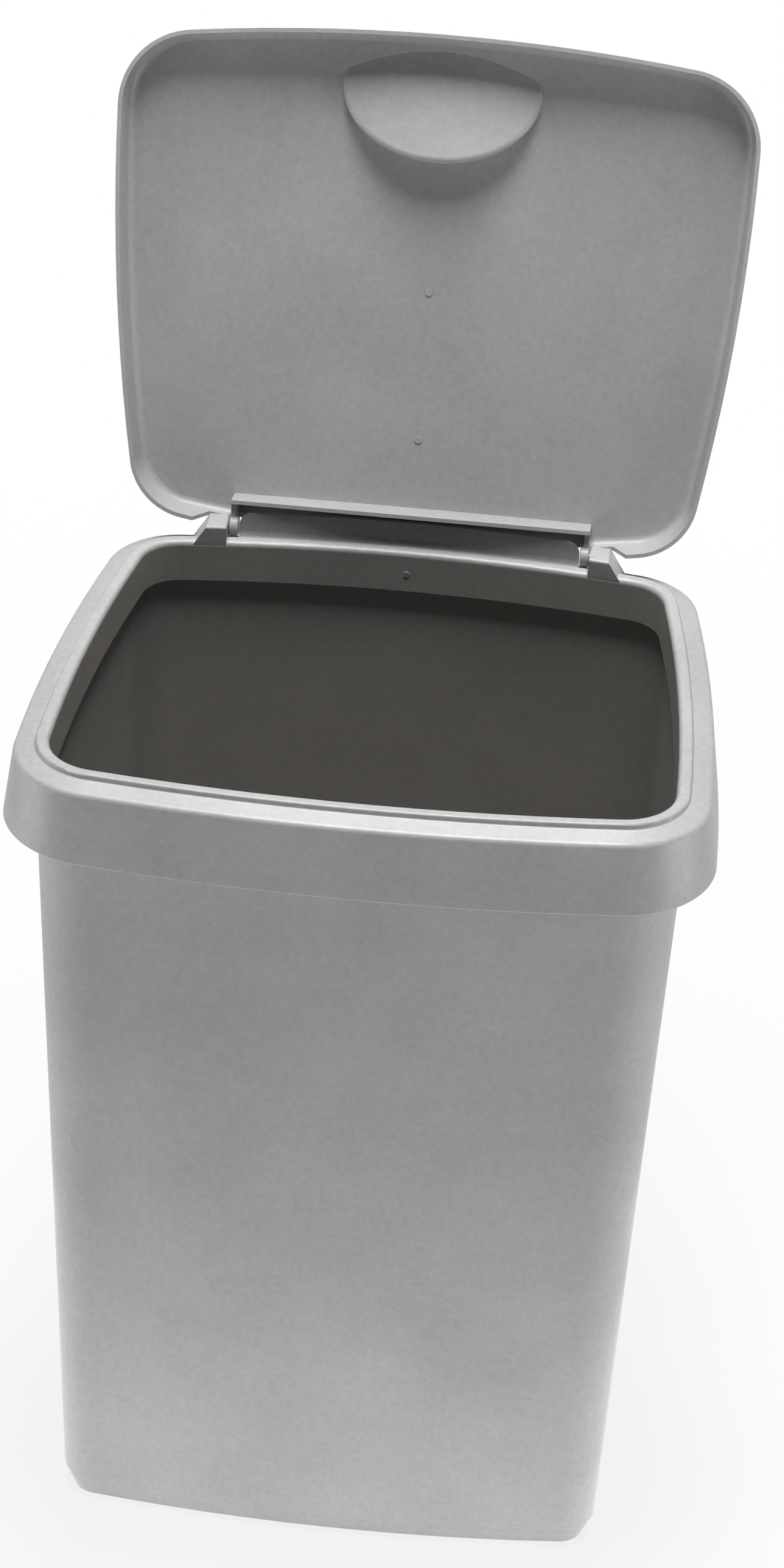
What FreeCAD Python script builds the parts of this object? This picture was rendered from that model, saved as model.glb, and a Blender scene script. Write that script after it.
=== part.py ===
import FreeCAD
import Part
import math
import os
from collections import namedtuple

Vector = FreeCAD.Vector

# A flip-lid waste bin in millimetres, +Z up, front towards -Y, origin under the middle of the base.
# The bucket carries a lift-off rim frame, and the lid turns on two steel pins in the frame's ears.

# Plan of the rim's shoulder: a rounded rectangle with bowed sides that close in towards the back
rim_half_width = 161.5
rim_half_depth = 137.0
rim_set_back = 6.0
side_slant_deg = 4.5
front_bow_radius = 1050.0
rear_bow_radius = 750.0
side_bow_radius = 1100.0
front_corner_radius = 44.0
rear_corner_radius = 38.0
least_corner_radius = 3.0

# Height of the ledge that the closed lid comes down on
ledge_height = 450.0

# Rim frame: outer skirt, sloping ledge, raised lip and inner skirt
collar_wall = 2.0
skirt_height = 38.0
skirt_flare = 5.0
shoulder_drop = 2.5
shoulder_radius = 3.0
ledge_width = 10.0
step_fillet = 0.8
lip_rise = 2.5
lip_width = 7.0
lip_lean = 0.8
lip_outer_radius = 1.2
lip_inner_radius = 3.0
inner_skirt_depth = 20.0
inner_skirt_lean = 1.0
edge_radius = 0.6
collar_gate_radius = 1.6
collar_gate_height = 0.5

# Bucket: tapered wall, stepped plinth, recessed underside and the flange that carries the frame
body_wall = 2.2
body_top_inset = 9.8
body_foot_inset = 25.5
floor_thickness = 2.6
floor_fillet = 4.0
flange_reach = 4.0
flange_thickness = 2.6
plinth_height = 13.0
plinth_steps = 2
plinth_inset = 5.0
foot_recess = 3.0
foot_ring_width = 8.0
foot_rib_width = 4.0
foot_pad_radius = 11.0

# Lid: drafted skirt, crowned top, notch over the hinge
lid_wall = 2.0
lid_inset = 5.0
lid_seat_gap = 0.3
lid_height = 23.0
lid_draft = 3.0
lid_crown_radius = 2800.0
lid_edge_radius = 6.0
lid_rear_reach = 4.0
lid_gate_radius = 1.8
lid_gate_height = 0.6
lid_gate_spacing = 76.0

# Finger pocket at the lid's front, a scoop whose floor falls towards its curved back wall
pocket_half_width = 47.0
pocket_back_length = 32.0
pocket_set_back = 30.0
pocket_depth = 14.0
pocket_lead = 14.0
pocket_floor_radius = 340.0
pocket_draft = 2.0
pocket_fillet = 2.5

# Hinge: axis, ears and guard panel on the frame, hood under the lid, steel pins
open_angle_deg = 105.0
hinge_inset = 11.0
hinge_rise = 6.0
pin_radius = 2.0
pin_run_clearance = 0.08
pin_ear_depth = 8.5
pin_proud = 1.0
pin_chamfer = 0.4
ear_inner_x = 92.6
ear_top_width = 10.2
ear_ramp_width = 8.4
ear_height = 11.0
ear_edge_radius = 1.2
ear_rear_inset = 1.5
ear_clearance = 1.2
hood_side_gap = 0.7
hood_wall = 2.0
hood_side_wall = 2.6
hood_front_reach = 14.4
hood_front_drop = 1.0
hood_side_rise = 4.0
hood_boss_radius = 4.0
panel_end_gap = 1.9
panel_height = 14.5
panel_wall = 2.0
panel_inset = 5.0
panel_corner_radius = 8.0
panel_cove_radius = 4.0
overrun = 20.0

# Places that several pieces share
rim_centre_y = rim_set_back
skirt_bottom = ledge_height - skirt_height
lip_top = ledge_height + lip_rise
seat_height = ledge_height - shoulder_drop - collar_wall
opening_inset = ledge_width + lip_width
hinge_y = rim_centre_y + rim_half_depth - hinge_inset
hinge_z = ledge_height + hinge_rise
ear_far_x = ear_inner_x + ear_top_width
ear_foot_x = ear_far_x + ear_ramp_width
ear_top = ledge_height + ear_height
hood_side_x = ear_inner_x - hood_side_gap
hood_inner_x = hood_side_x - hood_side_wall
ledge_slope = shoulder_drop / ledge_width
lid_skirt_bottom = ledge_height - shoulder_drop + ledge_slope * (lid_inset + lid_wall) + lid_seat_gap
lid_crown_z = ledge_height + lid_height

Bend = namedtuple("Bend", "centre radius start sweep")


def meet(first, first_reach, second, second_reach, towards):
    """Point at two given distances from two centres, the one that lies further along towards."""
    gap = second - first
    along = (gap.Length ** 2 + first_reach ** 2 - second_reach ** 2) / (2 * gap.Length)
    across = math.sqrt(first_reach ** 2 - along ** 2)
    step = gap.normalize()
    side = Vector(-step.y, step.x, 0)
    choices = [first + step * along + side * across, first + step * along - side * across]
    return max(choices, key=lambda point: point.dot(towards))


def plan_bends(centre_y, reach=0):
    """Arcs of the shoulder's plan grown by a reach, anticlockwise from the front, each tangent to the next."""
    slant = math.radians(side_slant_deg)
    front = Vector(0, front_bow_radius - rim_half_depth, 0)
    rear = Vector(0, rim_half_depth - rear_bow_radius, 0)
    right = Vector(rim_half_width - side_bow_radius * math.cos(slant), -side_bow_radius * math.sin(slant), 0)
    front_radius = max(front_corner_radius + reach, least_corner_radius)
    rear_radius = max(rear_corner_radius + reach, least_corner_radius)
    front_bow, rear_bow, side_bow = front_bow_radius + reach, rear_bow_radius + reach, side_bow_radius + reach
    front_corner = meet(front, front_bow - front_radius, right, side_bow - front_radius, Vector(1, -1, 0))
    rear_corner = meet(rear, rear_bow - rear_radius, right, side_bow - rear_radius, Vector(1, 1, 0))
    right_half = [(front_corner, front_radius), (right, side_bow), (rear_corner, rear_radius)]
    left_half = [(Vector(-centre.x, centre.y, 0), radius) for centre, radius in reversed(right_half)]
    chain = [(front, front_bow)] + right_half + [(rear, rear_bow)] + left_half
    seams = []
    for index, (centre, radius) in enumerate(chain):
        before, before_radius = chain[index - 1]
        outward = centre - before if before_radius > radius else before - centre
        seams.append(math.degrees(math.atan2(outward.y, outward.x)))
    bends = []
    for index, (centre, radius) in enumerate(chain):
        sweep = (seams[(index + 1) % len(seams)] - seams[index]) % 360
        bends.append(Bend(centre + Vector(0, centre_y, 0), radius, seams[index], sweep))
    return bends


def around(bend, turn, reach, height):
    """Point beside a bend, turned from its start, at a reach out from the shoulder and a height."""
    angle = math.radians(bend.start + turn)
    spoke = Vector(math.cos(angle), math.sin(angle), 0)
    return bend.centre + spoke * (bend.radius + reach) + Vector(0, 0, height)


def outline(reach, height, centre_y):
    """Closed wire of the plan, grown by a reach, at a height."""
    edges = []
    for bend in plan_bends(centre_y, reach):
        points = [around(bend, bend.sweep * share, 0, height) for share in (0, 0.5, 1)]
        edges.append(Part.Arc(*points).toShape())
    return Part.Wire(edges)


def slab(reach, bottom, top, centre_y):
    """Upright block of the plan, grown by a reach."""
    return Part.Face(outline(reach, bottom, centre_y)).extrude(Vector(0, 0, top - bottom))


def taper(low, high):
    """Block between two plan outlines, each given as reach, height and centre."""
    return Part.makeLoft([outline(*low), outline(*high)], True, True)


def rounded_face(corners, place):
    """Flat face through corners of (across, up, radius), placed in space by a function."""
    flat = [Vector(across, up, 0) for across, up, radius in corners]
    edges = []
    last = None
    first = None
    for index, point in enumerate(flat):
        back = (flat[index - 1] - point).normalize()
        ahead = (flat[(index + 1) % len(flat)] - point).normalize()
        radius = corners[index][2]
        half = math.acos(max(-1, min(1, back.dot(ahead)))) / 2
        leg = radius / math.tan(half)
        start = point + back * leg
        end = point + ahead * leg
        if last is not None:
            edges.append(Part.LineSegment(place(last.x, last.y), place(start.x, start.y)).toShape())
        else:
            first = start
        if radius > 0:
            middle = point + (back + ahead).normalize() * (radius / math.sin(half) - radius)
            edges.append(Part.Arc(place(start.x, start.y), place(middle.x, middle.y), place(end.x, end.y)).toShape())
        last = end
    edges.append(Part.LineSegment(place(last.x, last.y), place(first.x, first.y)).toShape())
    return Part.Face(Part.Wire(edges))


def band(corners, bends):
    """Moulding with one section, of (reach, height, radius) corners, along a run of bends."""
    lengths = []
    for bend in bends:
        section = rounded_face(corners, lambda reach, height: around(bend, 0, reach, height))
        lengths.append(section.revolve(bend.centre, Vector(0, 0, 1), bend.sweep))
    if len(lengths) == 1:
        return lengths[0]
    return lengths[0].multiFuse(lengths[1:]).removeSplitter()


def front_prism(corners, near_y, far_y):
    """Prism with a section of (x, z, radius) corners, from one y to another."""
    face = rounded_face(corners, lambda across, up: Vector(across, near_y, up))
    return face.extrude(Vector(0, far_y - near_y, 0))


def block(low, high):
    """Box between two opposite corners."""
    size = high - low
    return Part.makeBox(size.x, size.y, size.z, low)


def rod(radius, near_x, far_x):
    """Cylinder on the hinge axis from one x to another."""
    return Part.makeCylinder(radius, far_x - near_x, Vector(near_x, hinge_y, hinge_z), Vector(1, 0, 0))


def mirrored(shape):
    """The shape and its mirror image across the bin's middle plane."""
    return [shape, shape.mirror(Vector(0, 0, 0), Vector(1, 0, 0))]


def edges_where(shape, test):
    """Edges of a shape whose midpoint passes a test."""
    return [edge for edge in shape.Edges if test(edge.valueAt(edge.getParameterByLength(edge.Length / 2)))]


def make_body():
    """Bucket: a tapered shell on a stepped plinth, with a flange round its mouth."""
    shell = taper((-body_foot_inset, plinth_height, 0), (-body_top_inset, seat_height, rim_centre_y))
    tread = plinth_height / plinth_steps
    for step in range(plinth_steps):
        inset = body_foot_inset + plinth_inset * (step + 1) / plinth_steps
        top = plinth_height - tread * step
        shell = shell.fuse(slab(-inset, top - tread, top, 0))
    flange = slab(flange_reach - body_top_inset, seat_height - flange_thickness, seat_height, rim_centre_y)
    shell = shell.fuse(flange)
    floor_top = foot_recess + floor_thickness
    well_inset = body_foot_inset + plinth_inset + body_wall
    well_top = plinth_height + floor_thickness
    mouth = seat_height + overrun
    lean = (body_foot_inset - body_top_inset) / (seat_height - plinth_height)
    drift = rim_set_back / (seat_height - plinth_height)
    low = (-body_foot_inset - body_wall + lean * (well_top - plinth_height), well_top,
           drift * (well_top - plinth_height))
    high = (-body_top_inset - body_wall + lean * overrun, mouth, rim_centre_y + drift * overrun)
    hollow = taper(low, high)
    hollow = hollow.makeFillet(floor_fillet, edges_where(hollow, lambda point: point.z < well_top + body_wall))
    shell = shell.cut(hollow).cut(slab(-well_inset, floor_top, well_top + body_wall, 0))
    recess = slab(-body_foot_inset - plinth_inset - foot_ring_width, -overrun, foot_recess, 0)
    half_rib = foot_rib_width / 2
    reach = rim_half_width
    ribs = [block(Vector(-reach, -half_rib, 0), Vector(reach, half_rib, foot_recess)),
            block(Vector(-half_rib, -reach, 0), Vector(half_rib, reach, foot_recess)),
            Part.makeCylinder(foot_pad_radius, foot_recess)]
    return shell.cut(recess.cut(ribs[0].multiFuse(ribs[1:])))


def make_collar():
    """Rim frame: an inverted channel round the mouth, with hinge ears and a guard panel at the back."""
    bends = plan_bends(rim_centre_y)
    under_lip = lip_top - collar_wall - step_fillet
    skirt_bottom_inner = ledge_height - inner_skirt_depth
    section = [(skirt_flare, skirt_bottom, edge_radius),
               (0, ledge_height - shoulder_drop, shoulder_radius),
               (-ledge_width, ledge_height, step_fillet),
               (-ledge_width - lip_lean, lip_top, lip_outer_radius),
               (-opening_inset, lip_top, lip_inner_radius),
               (-opening_inset - inner_skirt_lean, skirt_bottom_inner, edge_radius),
               (-opening_inset - inner_skirt_lean + collar_wall, skirt_bottom_inner, edge_radius),
               (-opening_inset + collar_wall, under_lip, 0),
               (-ledge_width - lip_lean - collar_wall, under_lip, 0),
               (-ledge_width - lip_lean - collar_wall, seat_height, 0),
               (-collar_wall, seat_height, 0),
               (skirt_flare - collar_wall, skirt_bottom, edge_radius)]
    frame = band(section, bends)
    rear = bends[4]
    base = ledge_height - shoulder_drop
    # Ears: ramped blocks cut to the rim's curve, drilled for the pins
    trapezoid = [(ear_inner_x, base, 0), (ear_foot_x, base, 0),
                 (ear_far_x, ear_top, ear_edge_radius), (ear_inner_x, ear_top, ear_edge_radius)]
    ramped = front_prism(trapezoid, 0, rim_half_width)
    ear_section = [(-ear_rear_inset, base, 0), (-ear_rear_inset, ear_top, ear_edge_radius),
                   (-opening_inset, ear_top, ear_edge_radius),
                   (-opening_inset, lip_top - lip_inner_radius, 0),
                   (-opening_inset + collar_wall, lip_top - lip_inner_radius, 0),
                   (-opening_inset + collar_wall, base, 0)]
    ear = ramped.common(band(ear_section, [rear]))
    ear = ear.cut(rod(pin_radius, ear_inner_x - overrun, ear_inner_x + pin_ear_depth))
    # Guard panel: an upright wall with a cove at its foot and rounded upper corners
    panel_top = ledge_height + panel_height
    panel_front = panel_inset + panel_wall
    panel_half = hood_inner_x - panel_end_gap
    wall_section = [(-panel_inset, base, 0), (-panel_inset, panel_top, edge_radius),
                    (-panel_front, panel_top, edge_radius), (-panel_front, ledge_height, panel_cove_radius),
                    (-ledge_width - lip_lean, ledge_height, 0), (-ledge_width - lip_lean, base, 0)]
    shape = [(-panel_half, base, 0), (panel_half, base, 0),
             (panel_half, panel_top, panel_corner_radius), (-panel_half, panel_top, panel_corner_radius)]
    panel = front_prism(shape, 0, rim_half_width + overrun).common(band(wall_section, [rear]))
    # Gate mark on the inner face of the back
    gate_reach = -opening_inset - inner_skirt_lean / 2
    gate = Part.makeCylinder(collar_gate_radius, collar_gate_height + collar_wall / 2,
                             around(rear, rear.sweep / 2, gate_reach + collar_wall / 2,
                                    ledge_height - inner_skirt_depth / 2), Vector(0, -1, 0))
    return frame.multiFuse(mirrored(ear) + [panel, gate]).removeSplitter()


def lid_form(grow, crown_radius, edge):
    """Solid under the lid's crowned top and inside its drafted skirt, grown by a reach."""
    rise = lid_height + overrun
    sides = taper((grow - lid_inset, lid_skirt_bottom, rim_centre_y),
                  (grow - lid_inset - lid_draft * rise / lid_height, lid_skirt_bottom + rise, rim_centre_y))
    centre = Vector(0, rim_centre_y, lid_crown_z - lid_crown_radius)
    form = sides.common(Part.makeSphere(crown_radius, centre))
    top_edges = edges_where(form, lambda point: point.z > lid_skirt_bottom + lid_height / 2
                            and (point - centre).Length > crown_radius - edge_radius
                            and abs(point.x) + abs(point.y) > lid_wall)
    return form.makeFillet(edge, top_edges)


def pocket_form(grow):
    """Space of the finger pocket, grown by a wall: a drafted D cut by a sloping cylinder."""
    front_y = rim_centre_y - rim_half_depth + lid_inset
    centre_y = front_y + pocket_set_back
    half_width = pocket_half_width + grow
    back_length = pocket_back_length + grow
    levels = []
    for height, widen in ((lid_skirt_bottom, 0), (lid_crown_z + overrun, pocket_draft)):
        ellipse = Part.Ellipse(Vector(0, centre_y, height), half_width + widen, back_length + widen)
        arc = Part.ArcOfEllipse(ellipse, 0, math.pi).toShape()
        right = Vector(half_width + widen, centre_y, height)
        left = Vector(-half_width - widen, centre_y, height)
        ahead = Vector(0, -pocket_set_back - overrun, 0)
        sides = Part.makePolygon([left, left + ahead, right + ahead, right])
        levels.append(Part.Wire([arc] + sides.Edges))
    walls = Part.makeLoft(levels, True, True)
    slope = math.atan2(pocket_depth, pocket_set_back + pocket_back_length - pocket_lead)
    fall = Vector(0, math.cos(slope), -math.sin(slope))
    lift = Vector(0, math.sin(slope), math.cos(slope))
    lead_point = Vector(0, front_y + pocket_lead, lid_skirt_bottom + lid_height - lid_edge_radius / 2)
    start = lead_point + lift * pocket_floor_radius - fall * (pocket_set_back + overrun)
    length = 2 * (pocket_set_back + pocket_back_length + overrun)
    floor_reach = pocket_floor_radius + grow
    space = walls.common(Part.makeCylinder(floor_reach, length, start, fall))
    rim_edges = edges_where(space, lambda point: abs(point.distanceToLine(start, fall) - floor_reach) < edge_radius
                            and point.y > front_y - overrun + edge_radius)
    return space.makeFillet(pocket_fillet - lid_wall + grow, rim_edges)


def make_lid():
    """Lid in its closed place: crowned shell, finger pocket, hinge hood and gate marks."""
    outer = lid_form(0, lid_crown_radius, lid_edge_radius)
    inner = lid_form(-lid_wall, lid_crown_radius - lid_wall, lid_edge_radius - lid_wall)
    shell = outer.cut(pocket_form(0)).cut(inner.cut(pocket_form(lid_wall)))
    # Notches in the back skirt: a deep one over the guard panel, and a low one over each ear
    low = lid_skirt_bottom - overrun
    wall_front = hinge_y - hood_front_reach
    under_plate = ledge_height + panel_height + lid_wall
    rear_limit = rim_centre_y + rim_half_depth + overrun
    notches = [block(Vector(-hood_inner_x, wall_front, low), Vector(hood_inner_x, rear_limit, under_plate)),
               block(Vector(-hood_inner_x, hinge_y + lid_rear_reach, low),
                     Vector(hood_inner_x, rear_limit, lid_crown_z + overrun))]
    relief = [(hood_inner_x, low, 0), (ear_foot_x + ear_clearance, low, 0),
              (ear_foot_x + ear_clearance, ledge_height - shoulder_drop, 0),
              (ear_far_x + ear_clearance, ear_top + ear_clearance, ear_edge_radius),
              (hood_inner_x, ear_top + ear_clearance, 0)]
    notches += mirrored(front_prism(relief, wall_front, rear_limit))
    shell = shell.cut(notches[0].multiFuse(notches[1:]))
    # Hood: a front wall and two side walls with bosses for the pins
    hood_bottom = ledge_height + hood_front_drop
    side_bottom = ledge_height + hood_side_rise
    top = lid_crown_z + overrun
    front = block(Vector(-hood_side_x, wall_front, hood_bottom), Vector(hood_side_x, wall_front + hood_wall, top))
    side = block(Vector(hood_inner_x, wall_front, side_bottom), Vector(hood_side_x, hinge_y, top))
    side = side.fuse(block(Vector(hood_inner_x, hinge_y, hinge_z),
                           Vector(hood_side_x, hinge_y + hood_boss_radius, top)))
    side = side.fuse(rod(hood_boss_radius, hood_inner_x, hood_side_x))
    side = side.cut(rod(pin_radius + pin_run_clearance, hood_inner_x - overrun, hood_side_x + overrun))
    hood = front.multiFuse(mirrored(side)).removeSplitter().common(outer)
    # Gate marks on the underside
    gates = []
    for gate_y in (rim_centre_y, rim_centre_y + lid_gate_spacing):
        plate_z = lid_crown_z - lid_wall - (gate_y - rim_centre_y) ** 2 / (2 * lid_crown_radius)
        gates.append(Part.makeCylinder(lid_gate_radius, lid_gate_height + lid_wall / 2,
                                       Vector(0, gate_y, plate_z - lid_gate_height)))
    return shell.multiFuse([hood] + gates).removeSplitter()


def make_pin():
    """Right-hand hinge pin, pressed into its ear and running in the hood's side wall."""
    near_x = hood_inner_x - pin_proud
    far_x = ear_inner_x + pin_ear_depth
    pin = rod(pin_radius, near_x, far_x)
    return pin.makeChamfer(pin_chamfer, edges_where(pin, lambda point: abs(point.x - near_x) < pin_chamfer / 2))


body = make_body()
collar = make_collar()
lid = make_lid()
lid.rotate(Vector(0, hinge_y, hinge_z), Vector(1, 0, 0), -open_angle_deg)
pin_right, pin_left = mirrored(make_pin())

os.makedirs("parts", exist_ok=True)
pieces = {"body": body, "collar": collar, "lid": lid, "hinge_pin_right": pin_right, "hinge_pin_left": pin_left}
for node, shape in pieces.items():
    print(node, "solids", len(shape.Solids), "valid", shape.isValid(), "volume", round(shape.Volume), "mm3")
    shape.exportStep("parts/" + node + ".step")
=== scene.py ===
# %% [markdown]
# # A flip-lid waste bin
# The bin is three plastic mouldings: a tapered bucket, a rim frame that sits over its mouth, and a lid
# that turns on two steel pins. The imported CAD model gives every solid in metres, so this lesson starts by
# loading it and listing its nodes. What follows is dressing: finishes, two small bosses at the hinge, a floor,
# light and a camera.

# %% Load the imported model
import bmesh
import bpy
import math
from mathutils import Matrix, Vector


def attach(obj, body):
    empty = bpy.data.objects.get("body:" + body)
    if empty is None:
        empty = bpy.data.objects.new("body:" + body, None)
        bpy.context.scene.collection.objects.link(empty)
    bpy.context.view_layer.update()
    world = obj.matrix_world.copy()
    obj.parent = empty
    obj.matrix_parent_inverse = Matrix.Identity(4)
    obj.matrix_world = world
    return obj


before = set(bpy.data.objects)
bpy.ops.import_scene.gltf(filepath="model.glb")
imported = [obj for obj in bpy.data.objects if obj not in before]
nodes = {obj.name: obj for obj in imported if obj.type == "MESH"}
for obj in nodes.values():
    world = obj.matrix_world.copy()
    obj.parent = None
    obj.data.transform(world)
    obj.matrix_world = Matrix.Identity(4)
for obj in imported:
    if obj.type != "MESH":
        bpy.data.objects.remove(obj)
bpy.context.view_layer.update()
print("nodes:", sorted(nodes))

# %% [markdown]
# ## A short way to write shaders
# A material in Blender is a graph of nodes. Written out in full, each node takes four or five lines, so a few
# small helpers that add a node, set its values and link its inputs keep the recipes below readable.

# %% Node helpers
def new_material(name):
    """An empty node material."""
    material = bpy.data.materials.new(name)
    material.use_nodes = True
    material.node_tree.nodes.clear()
    return material


def feed(material, socket, value):
    """Links a socket to an input, or sets the input to a plain value."""
    if isinstance(value, bpy.types.NodeSocket):
        material.node_tree.links.new(value, socket)
    else:
        socket.default_value = value


def add(material, kind, settings=None, **inputs):
    """Adds one node. Settings are its properties, and inputs are values or sockets, by socket name."""
    node = material.node_tree.nodes.new(kind)
    for key, value in (settings or {}).items():
        setattr(node, key, value)
    for key, value in inputs.items():
        feed(material, node.inputs[key.replace("_", " ")], value)
    return node


def maths(material, kind, operation, *values):
    """Adds a maths node whose inputs are given in order."""
    node = add(material, kind, {"operation": operation})
    for socket, value in zip(node.inputs, values):
        feed(material, socket, value)
    return node


def ramp(material, factor, low, high):
    """Maps a factor from low..high to 0..1 and clamps it."""
    node = add(material, "ShaderNodeMapRange", Value=factor, From_Min=low, From_Max=high)
    return node.outputs["Result"]


def named_socket(sockets, identifier):
    """The socket of a mix node that has this identifier, as several share a name."""
    return next(socket for socket in sockets if socket.identifier == identifier)


def mix(material, data_type, suffix, factor, first, second, way="MIX"):
    """Mixes two values or sockets of one data type."""
    node = add(material, "ShaderNodeMix", {"data_type": data_type, "blend_type": way})
    feed(material, named_socket(node.inputs, "Factor_Float"), factor)
    feed(material, named_socket(node.inputs, "A_" + suffix), first)
    feed(material, named_socket(node.inputs, "B_" + suffix), second)
    return named_socket(node.outputs, "Result_" + suffix)


def blend_colour(material, factor, first, second, way="MIX"):
    """Blends two colours, each a value or a socket."""
    return mix(material, "RGBA", "Color", factor, first, second, way)


print("helpers ready")

# %% [markdown]
# ## Moulded plastic
# The bin is polypropylene, coloured through and moulded in tools with a fine spark-eroded grain. Seen close,
# such a surface has several scales: a grain of about half a millimetre that softens reflections, soft flecks
# of two or three millimetres, broad clouds where the colour is a little uneven, and edges that hands and bags
# have rubbed paler. Image textures could show these, but procedural noise in object coordinates needs no UV
# map and stays put when the lid turns. The Bevel node finds the edges: where its rounded normal leaves the
# true one, an edge is near. Walls that face inward below the lip get painted shade: darker and a little warmer.

# %% Plastic sizes and shares
GRAIN = {"Scale": 1500.0, "Detail": 2.0, "Roughness": 0.6}
FLECKS = {"Scale": 330.0, "Detail": 2.5, "Roughness": 0.6}
CLOUDS = {"Scale": 14.0, "Detail": 4.0, "Roughness": 0.55}
RUBS = {"Scale": 45.0, "Detail": 5.0, "Roughness": 0.7}
FLECK_SPAN = (0.28, 0.72)
CLOUD_SPAN = (0.35, 0.65)
RUB_SPAN = (0.40, 0.70)
DARK_SHARES = (0.87, 1.02)
PALE_SHARES = (0.98, 1.13)
WORN_SHARE = 1.22
# painted shade: the inward walls below the lip are darkened and warmed by these shares
INNER_SHADE_SHARES = (0.72, 0.685, 0.65)
SHINE_SWING = 0.03
BUMP_STRENGTH = 0.25
BUMP_DISTANCE = 0.00006
PLASTIC_IOR = 1.49
EDGE_REACH = 0.0012
EDGE_SAMPLES = 4
EDGE_SPAN = (0.995, 0.90)
LEVEL = (1.0, 1.0, 0.0)
INWARD_SPAN = (-0.2, -0.6)
LIP_TOP = 0.4525
LIP_FADE = 0.003
CROWN_MIDDLE = (0.0, 0.181, 0.5733)
CROWN_REACH = 0.03
CROWN_FADE = 0.01
print("flecks per metre:", FLECKS["Scale"], "clouds per metre:", CLOUDS["Scale"])

# %% [markdown]
# ### Where the finish changes
# Three small functions say where: near an edge, on a wall that faces the bin's upright axis, where shade is
# painted on, and in the middle of the lid's crown. In that last place one vertex of the imported mesh has a
# stray normal, so the shading there goes by the facets themselves.

# %% Masks for the plastic
def noise(material, place, span, settings):
    """Noise at a place, spread so that the span goes from 0 to 1."""
    return ramp(material, add(material, "ShaderNodeTexNoise", Vector=place, **settings).outputs["Fac"], *span)


def near_edge(material):
    """1 at a sharp edge and 0 away from it."""
    rounded = add(material, "ShaderNodeBevel", {"samples": EDGE_SAMPLES}, Radius=EDGE_REACH)
    normal = add(material, "ShaderNodeNewGeometry").outputs["Normal"]
    agree = maths(material, "ShaderNodeVectorMath", "DOT_PRODUCT", rounded.outputs["Normal"], normal)
    return ramp(material, agree.outputs["Value"], *EDGE_SPAN)


def inner_shade_mask(material, place):
    """1 on walls that face the bin's upright axis below the lip, where shade is painted on, and 0 elsewhere."""
    spoke = maths(material, "ShaderNodeVectorMath", "MULTIPLY", place, LEVEL).outputs["Vector"]
    outward = maths(material, "ShaderNodeVectorMath", "NORMALIZE", spoke).outputs["Vector"]
    normal = add(material, "ShaderNodeNewGeometry").outputs["Normal"]
    facing = maths(material, "ShaderNodeVectorMath", "DOT_PRODUCT", outward, normal).outputs["Value"]
    height = add(material, "ShaderNodeSeparateXYZ", Vector=place).outputs["Z"]
    below_lip = ramp(material, height, LIP_TOP, LIP_TOP - LIP_FADE)
    inward = ramp(material, facing, *INWARD_SPAN)
    return maths(material, "ShaderNodeMath", "MULTIPLY", inward, below_lip).outputs["Value"]


def settled_normal(material, place):
    """The shading normal, but the facets' own one around the middle of the lid's crown."""
    geometry = add(material, "ShaderNodeNewGeometry").outputs
    away = maths(material, "ShaderNodeVectorMath", "DISTANCE", place, CROWN_MIDDLE).outputs["Value"]
    near = ramp(material, away, CROWN_REACH + CROWN_FADE, CROWN_REACH)
    return mix(material, "VECTOR", "Vector", near, geometry["Normal"], geometry["True Normal"])


print("masks ready")

# %% [markdown]
# ### The plastic itself
# Flecks are blended twice, once darker and once paler, and the clouds choose between the two. Painted shade
# on the inward walls and rubbed edges come on top. The clouds also sway the roughness, and the grain is a
# shallow bump.

# %% Plastic recipe
def tinted(colour, share):
    """A colour made darker or paler by a share, with alpha."""
    return (*[min(1.0, channel * share) for channel in colour], 1.0)


def flecked(material, flecks, colour, shares):
    """A colour that the flecks sway between two shares."""
    return blend_colour(material, flecks, *[tinted(colour, share) for share in shares])


def moulded_plastic(name, colour, roughness, paints_inner_shade):
    """Matt plastic with painted shade on its inward walls, or a settled crown where it is the lid."""
    material = new_material(name)
    place = add(material, "ShaderNodeTexCoord").outputs["Object"]
    flecks = noise(material, place, FLECK_SPAN, FLECKS)
    clouds = noise(material, place, CLOUD_SPAN, CLOUDS)
    rubs = noise(material, place, RUB_SPAN, RUBS)
    grain = add(material, "ShaderNodeTexNoise", Vector=place, **GRAIN).outputs["Fac"]
    dark = flecked(material, flecks, colour, DARK_SHARES)
    pale = flecked(material, flecks, colour, PALE_SHARES)
    mixed = blend_colour(material, clouds, dark, pale)
    bump = add(material, "ShaderNodeBump", Height=grain, Strength=BUMP_STRENGTH, Distance=BUMP_DISTANCE)
    if paints_inner_shade:
        # painted shade: walls that face inward below the lip are darkened and warmed
        shaded_inside = blend_colour(material, 1.0, mixed, (*INNER_SHADE_SHARES, 1.0), "MULTIPLY")
        mixed = blend_colour(material, inner_shade_mask(material, place), mixed, shaded_inside)
    else:
        feed(material, bump.inputs["Normal"], settled_normal(material, place))
    edge = maths(material, "ShaderNodeMath", "MULTIPLY", near_edge(material), rubs).outputs["Value"]
    worn = blend_colour(material, edge, mixed, tinted(colour, WORN_SHARE))
    shine = add(material, "ShaderNodeMapRange", Value=clouds, To_Min=roughness + SHINE_SWING,
                To_Max=roughness - SHINE_SWING)
    surface = add(material, "ShaderNodeBsdfPrincipled", Base_Color=worn, Roughness=shine.outputs["Result"],
                  Normal=bump.outputs["Normal"], IOR=PLASTIC_IOR)
    add(material, "ShaderNodeOutputMaterial", Surface=surface.outputs["BSDF"])
    return material


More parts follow.
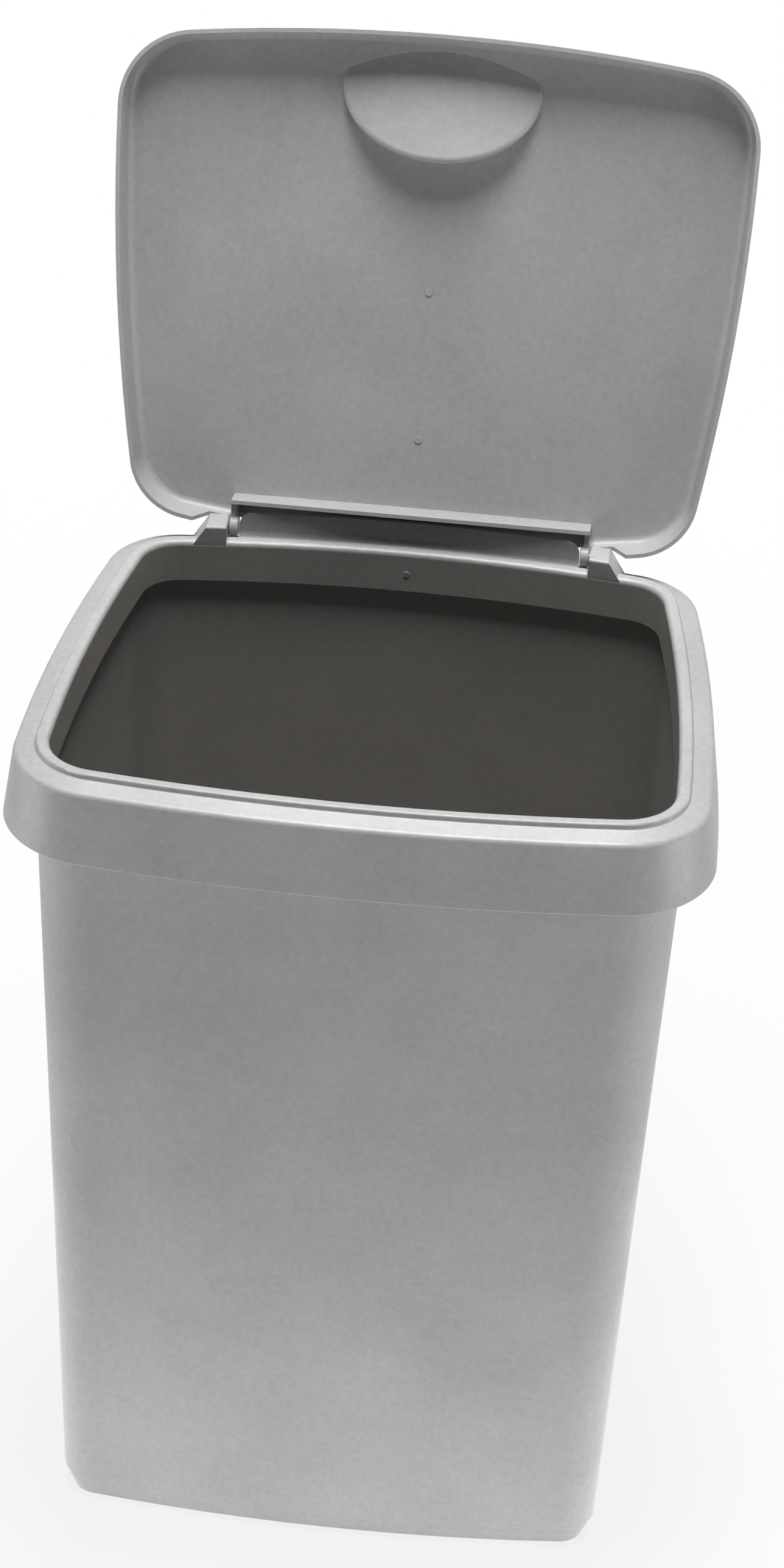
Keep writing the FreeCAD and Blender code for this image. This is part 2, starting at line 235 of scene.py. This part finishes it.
GREY = (0.400, 0.400, 0.399)
LID_GREY = (0.400, 0.391, 0.386)
MATT = 0.42
HANDLED_MATT = 0.40
# the bucket and the frame get painted shade on their inward walls
bucket_plastic = moulded_plastic("bucket_plastic", GREY, MATT, True)
frame_plastic = moulded_plastic("frame_plastic", GREY, HANDLED_MATT, True)
lid_plastic = moulded_plastic("lid_plastic", LID_GREY, MATT, False)
print("plastics:", bucket_plastic.name, frame_plastic.name, lid_plastic.name)

# %% [markdown]
# ## Drawn steel
# The two hinge pins are short lengths of bright drawn wire. Drawing leaves fine lines along the wire, so the
# noise that roughens the steel is stretched along X, the pins' own direction.

# %% Steel recipe
LINE_STRETCH = (40.0, 2500.0, 2500.0)
LINE_DETAIL = 3.0
DARK_STEEL = (0.55, 0.55, 0.56, 1.0)
PALE_STEEL = (0.74, 0.74, 0.75, 1.0)
STEEL_SHINE = (0.22, 0.42)


def drawn_steel(name):
    """Bright drawn steel with lines along X."""
    material = new_material(name)
    place = add(material, "ShaderNodeTexCoord").outputs["Object"]
    stretch = add(material, "ShaderNodeMapping", Vector=place, Scale=LINE_STRETCH).outputs["Vector"]
    lines = add(material, "ShaderNodeTexNoise", Vector=stretch, Scale=1.0, Detail=LINE_DETAIL).outputs["Fac"]
    tone = blend_colour(material, lines, DARK_STEEL, PALE_STEEL)
    shine = add(material, "ShaderNodeMapRange", Value=lines, To_Min=STEEL_SHINE[0], To_Max=STEEL_SHINE[1])
    surface = add(material, "ShaderNodeBsdfPrincipled", Base_Color=tone, Roughness=shine.outputs["Result"],
                  Metallic=1.0)
    add(material, "ShaderNodeOutputMaterial", Surface=surface.outputs["BSDF"])
    return material


pin_steel = drawn_steel("pin_steel")
print("steel:", pin_steel.name)

# %% [markdown]
# ## Dress the CAD nodes
# Each node keeps its mesh and only gets a finish in its material slot.

# %% Give each node its finish
finishes = {"body": bucket_plastic, "collar": frame_plastic, "lid": lid_plastic,
            "hinge_pin_left": pin_steel, "hinge_pin_right": pin_steel}
for node_name, finish in finishes.items():
    materials = nodes[node_name].data.materials
    materials.clear()
    materials.append(finish)
    print(node_name, "wears", finish.name, "on", len(nodes[node_name].data.polygons), "faces")

# %% [markdown]
# ## Hinge bosses
# The lid's skin crosses the hood's side walls close behind the pins, so the two bores in the CAD lid are open
# on that side. A hood that holds its pins closes around them, and so each side wall gets a closed boss here. A
# boss is round about the hinge line, so it is a short profile spun about that line, and it clears the frame at
# every lid angle.

# %% Hinge bosses
HINGE_LINE = Vector((0.0, 0.132, 0.456))
BOSS_INNER_X = 0.08775
BOSS_OUTER_X = 0.09235
BOSS_RADIUS = 0.0054
BOSS_CHAMFER = 0.0006
BORE_END_X = 0.08815
BORE_RADIUS = 0.00206
SPIN_STEPS = 64
WELD_DISTANCE = 0.00001
SHARP_DEG = 30.0


def hinge_boss(name, side):
    """A closed boss around one pin. Side is -1 on the left and 1 on the right."""
    profile = [(BOSS_INNER_X, 0.0), (BOSS_INNER_X, BOSS_RADIUS - BOSS_CHAMFER),
               (BOSS_INNER_X + BOSS_CHAMFER, BOSS_RADIUS), (BOSS_OUTER_X - BOSS_CHAMFER, BOSS_RADIUS),
               (BOSS_OUTER_X, BOSS_RADIUS - BOSS_CHAMFER), (BOSS_OUTER_X, BORE_RADIUS),
               (BORE_END_X, BORE_RADIUS), (BORE_END_X, 0.0)]
    shape = bmesh.new()
    corners = [shape.verts.new(HINGE_LINE + Vector((side * along, 0.0, out))) for along, out in profile]
    lines = [shape.edges.new(pair) for pair in zip(corners, corners[1:])]
    bmesh.ops.spin(shape, geom=corners + lines, cent=HINGE_LINE, axis=(1.0, 0.0, 0.0), angle=math.tau,
                   steps=SPIN_STEPS)
    bmesh.ops.remove_doubles(shape, verts=shape.verts, dist=WELD_DISTANCE)
    bmesh.ops.recalc_face_normals(shape, faces=shape.faces)
    data = bpy.data.meshes.new(name)
    shape.to_mesh(data)
    shape.free()
    data.shade_smooth()
    data.set_sharp_from_angle(angle=math.radians(SHARP_DEG))
    data.materials.append(lid_plastic)
    boss = bpy.data.objects.new(name, data)
    bpy.context.scene.collection.objects.link(boss)
    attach(boss, "flip_lid")
    return boss


for boss in (hinge_boss("hinge_boss_left", -1.0), hinge_boss("hinge_boss_right", 1.0)):
    print(boss.name, "has", len(boss.data.polygons), "faces")

# %% [markdown]
# ## Floor
# The photograph is a studio shot on white, and the bucket grows paler towards its foot, as light from the
# floor makes it. So the floor is a wide pale sheet with a glow around the bin. The camera sees it as white
# through the Light Path node, and near the bin it still takes a soft shadow. All other rays find an even blend
# of that white and the glowing paper, so the floor lights the bin from below.

# %% Floor
FLOOR_SIZE = 14.0
GLOW_NEAR = 0.20
GLOW_FAR = 0.48
GLOW_STRENGTH = 2.1
SHADOW_NEAR = 0.25
SHADOW_FAR = 1.1
SHADOW_WHITENESS = 0.80
BOUNCE_SHARE = 0.5
PAPER = (0.86, 0.86, 0.86, 1.0)


def mix_shaders(material, factor, first, second):
    """Mixes two shaders."""
    node = add(material, "ShaderNodeMixShader", Fac=factor)
    for socket, shader in zip(node.inputs[1:], (first, second)):
        feed(material, socket, shader)
    return node.outputs[0]


def by_distance(material, away, near, far, near_value, far_value):
    """A value that changes smoothly with the distance from the bin."""
    node = add(material, "ShaderNodeMapRange", {"interpolation_type": "SMOOTHSTEP"}, Value=away, From_Min=near,
               From_Max=far, To_Min=near_value, To_Max=far_value)
    return node.outputs["Result"]


def studio_paper():
    """Pale paper that glows around the bin and looks white to the camera."""
    material = new_material("studio_paper")
    place = add(material, "ShaderNodeTexCoord").outputs["Object"]
    away = maths(material, "ShaderNodeVectorMath", "LENGTH", place).outputs["Value"]
    glow = by_distance(material, away, GLOW_NEAR, GLOW_FAR, GLOW_STRENGTH, 0.0)
    whiteness = by_distance(material, away, SHADOW_NEAR, SHADOW_FAR, SHADOW_WHITENESS, 1.0)
    paper = add(material, "ShaderNodeBsdfDiffuse", Color=PAPER).outputs[0]
    lit = add(material, "ShaderNodeEmission", Strength=glow).outputs[0]
    table = add(material, "ShaderNodeAddShader")
    for socket, shader in zip(table.inputs, (paper, lit)):
        feed(material, socket, shader)
    white = add(material, "ShaderNodeEmission", Strength=1.0).outputs[0]
    shown = mix_shaders(material, whiteness, paper, white)
    to_camera = add(material, "ShaderNodeLightPath").outputs["Is Camera Ray"]
    seen = maths(material, "ShaderNodeMath", "MAXIMUM", BOUNCE_SHARE, to_camera)
    surface = mix_shaders(material, seen.outputs["Value"], table.outputs[0], shown)
    add(material, "ShaderNodeOutputMaterial", Surface=surface)
    return material


bpy.ops.mesh.primitive_grid_add(x_subdivisions=2, y_subdivisions=2, size=FLOOR_SIZE, location=(0, 0, 0))
floor = bpy.context.object
floor.name = "studio_floor"
floor.data.materials.append(studio_paper())
print("floor:", tuple(round(side, 2) for side in floor.dimensions))

# %% [markdown]
# ## Light
# A soft box hangs over the bin, so the ledge and the lip are bright, the inside is dark, and the open lid
# shades its own top. Two small boxes stand low at the sides and pick out the bucket's corners. Their first
# strengths came from rendering each lamp alone and fitting the sum to tones measured on the photograph, and
# they were then trimmed.

# %% Lamps
TOP_PLACE = (0.0, 0.12, 2.2)
TOP_AIM = (0.0, 0.03, 0.4)
TOP_SIZE = (0.8, 1.2)
TOP_POWER = 54.0
LEFT_PLACE = (-1.2, -0.25, 0.2)
RIGHT_PLACE = (1.2, -0.3, 0.2)
SIDE_AIM = (0.0, 0.0, 0.2)
SIDE_SIZE = (0.8, 0.4)
LEFT_POWER = 4.6
RIGHT_POWER = 5.0


def soft_box(name, place, aim, size, power):
    """A rectangular area lamp that looks at a point."""
    data = bpy.data.lights.new(name, "AREA")
    data.shape = "RECTANGLE"
    data.size, data.size_y = size
    data.energy = power
    lamp = bpy.data.objects.new(name, data)
    bpy.context.scene.collection.objects.link(lamp)
    lamp.location = place
    lamp.rotation_euler = (Vector(aim) - Vector(place)).to_track_quat("-Z", "Y").to_euler()
    return lamp


lamps = [soft_box("top_box", TOP_PLACE, TOP_AIM, TOP_SIZE, TOP_POWER),
         soft_box("left_box", LEFT_PLACE, SIDE_AIM, SIDE_SIZE, LEFT_POWER),
         soft_box("right_box", RIGHT_PLACE, SIDE_AIM, SIDE_SIZE, RIGHT_POWER)]
print("lamps in watts:", {lamp.name: round(lamp.data.energy, 1) for lamp in lamps})

# %% [markdown]
# ## World
# The camera sees a white backdrop. All other rays find a weak white fill, which keeps the shadows from going
# black.

# %% World
FILL_STRENGTH = 0.02
WHITE = (1.0, 1.0, 1.0, 1.0)

world = bpy.data.worlds.new("studio")
bpy.context.scene.world = world
world.use_nodes = True
world.node_tree.nodes.clear()
fill = add(world, "ShaderNodeBackground", Color=WHITE, Strength=FILL_STRENGTH).outputs[0]
backdrop = add(world, "ShaderNodeBackground", Color=WHITE, Strength=1.0).outputs[0]
to_camera = add(world, "ShaderNodeLightPath").outputs["Is Camera Ray"]
add(world, "ShaderNodeOutputWorld", Surface=mix_shaders(world, to_camera, fill, backdrop))
bpy.context.scene.view_settings.view_transform = "Standard"
print("world:", world.name, "with a fill of", FILL_STRENGTH)

# %% [markdown]
# ## Camera
# The camera's turn, tilt, roll and distance were fitted to edges measured on the photograph, which is 1288 by
# 2576 pixels. A long lens from two metres gives the same slight narrowing towards the foot.

# %% Camera
IMAGE_HEIGHT_PX = 2576
SENSOR_WIDTH_MM = 36.0
FOCAL_PX = 6822.0
TURN_DEG = 4.615
TILT_DEG = 32.08
ROLL_DEG = 2.845
AIM = Vector((0.0077, 0.0060, 0.3882))
DISTANCE = 2.0516


def photo_camera():
    """A camera that looks at the aim from the fitted direction, rolled about its own axis."""
    data = bpy.data.cameras.new("photo_camera")
    data.sensor_fit = "AUTO"
    data.sensor_width = SENSOR_WIDTH_MM
    data.lens = SENSOR_WIDTH_MM * FOCAL_PX / IMAGE_HEIGHT_PX
    turn, tilt, roll = (math.radians(angle) for angle in (TURN_DEG, TILT_DEG, ROLL_DEG))
    back = Vector((math.sin(turn) * math.cos(tilt), -math.cos(turn) * math.cos(tilt), math.sin(tilt)))
    right = Vector((math.cos(turn), math.sin(turn), 0.0))
    up = back.cross(right)
    rolled_right = right * math.cos(roll) + up * math.sin(roll)
    rolled_up = up * math.cos(roll) - right * math.sin(roll)
    camera = bpy.data.objects.new("photo_camera", data)
    bpy.context.scene.collection.objects.link(camera)
    axes = Matrix((rolled_right, rolled_up, back)).transposed()
    camera.matrix_world = Matrix.Translation(AIM + back * DISTANCE) @ axes.to_4x4()
    return camera


camera = photo_camera()
bpy.context.scene.camera = camera
print("lens in mm:", round(camera.data.lens, 2))
